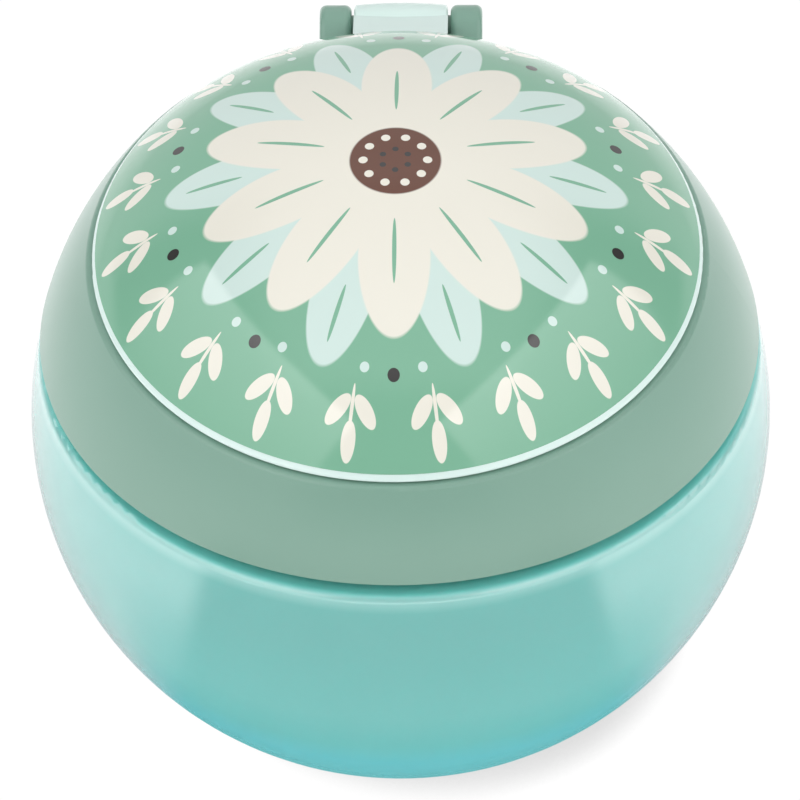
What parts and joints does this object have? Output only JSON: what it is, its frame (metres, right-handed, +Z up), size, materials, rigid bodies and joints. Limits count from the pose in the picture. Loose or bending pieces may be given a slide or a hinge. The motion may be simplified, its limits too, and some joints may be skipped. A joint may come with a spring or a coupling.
{
  "type": "toddler snack cup",
  "caption": "Ball-shaped toddler snack cup: a translucent bowl, a screw collar, a ring of soft flaps for a small hand and a domed lid on a rear hinge.",
  "frame": {"origin": "centre of the flat foot that the bowl stands on", "axes": "+Z up, -Y towards the front, where the lid snaps shut, +Y towards the hinge, +X to the right seen from the front"},
  "size_m": [0.108, 0.108, 0.0921],
  "materials": {
    "cup_plastic": "translucent polypropylene, polished",
    "collar_plastic": "opaque polypropylene, satin gloss",
    "flap_rubber": "soft thermoplastic elastomer, matt",
    "lid_plastic": "opaque polypropylene, polished"
  },
  "bodies": {
    "cup_body": {"cup": "cup_plastic"},
    "ring_body": {"flap_ring": "flap_rubber"},
    "collar_body": {"screw_collar": "collar_plastic"},
    "lid_body": {"lid": "lid_plastic"},
    "flap_1_body": {"flap_1": "flap_rubber"},
    "flap_2_body": {"flap_2": "flap_rubber"},
    "flap_3_body": {"flap_3": "flap_rubber"},
    "flap_4_body": {"flap_4": "flap_rubber"},
    "flap_5_body": {"flap_5": "flap_rubber"},
    "flap_6_body": {"flap_6": "flap_rubber"}
  },
  "joints": [
    {"name": "ring_lift", "type": "slide", "parent": "cup_body", "child": "ring_body", "axis": [0, 0, 1], "range_m": [0, 0.012]},
    {"name": "collar_turn", "type": "hinge", "parent": "ring_body", "child": "collar_body", "pos_m": [0, 0, 0.0555], "axis": [0, 0, 1], "range_deg": [0, 540]},
    {"name": "lid_hinge", "type": "hinge", "parent": "collar_body", "child": "lid_body", "pos_m": [0, 0.04674, 0.07283], "axis": [-1, 0, 0], "range_deg": [0, 120]},
    {"name": "flap_1_bend", "type": "hinge", "parent": "ring_body", "child": "flap_1_body", "pos_m": [0, -0.02868, 0.0654], "axis": [-1, 0, 0], "range_deg": [-20, 75], "stiffness_Nm_per_rad": 0.03},
    {"name": "flap_2_bend", "type": "hinge", "parent": "ring_body", "child": "flap_2_body", "pos_m": [0.02484, -0.01434, 0.0654], "axis": [-0.5, -0.866, 0], "range_deg": [-20, 75], "stiffness_Nm_per_rad": 0.03},
    {"name": "flap_3_bend", "type": "hinge", "parent": "ring_body", "child": "flap_3_body", "pos_m": [0.02484, 0.01434, 0.0654], "axis": [0.5, -0.866, 0], "range_deg": [-20, 75], "stiffness_Nm_per_rad": 0.03},
    {"name": "flap_4_bend", "type": "hinge", "parent": "ring_body", "child": "flap_4_body", "pos_m": [0, 0.02868, 0.0654], "axis": [1, 0, 0], "range_deg": [-20, 75], "stiffness_Nm_per_rad": 0.03},
    {"name": "flap_5_bend", "type": "hinge", "parent": "ring_body", "child": "flap_5_body", "pos_m": [-0.02484, 0.01434, 0.0654], "axis": [0.5, 0.866, 0], "range_deg": [-20, 75], "stiffness_Nm_per_rad": 0.03},
    {"name": "flap_6_bend", "type": "hinge", "parent": "ring_body", "child": "flap_6_body", "pos_m": [-0.02484, -0.01434, 0.0654], "axis": [-0.5, 0.866, 0], "range_deg": [-20, 75], "stiffness_Nm_per_rad": 0.03}
  ],
  "couplings": [
    {"joint": "ring_lift", "follows": "collar_turn", "m_per_rad": 0.00095493}
  ]
}
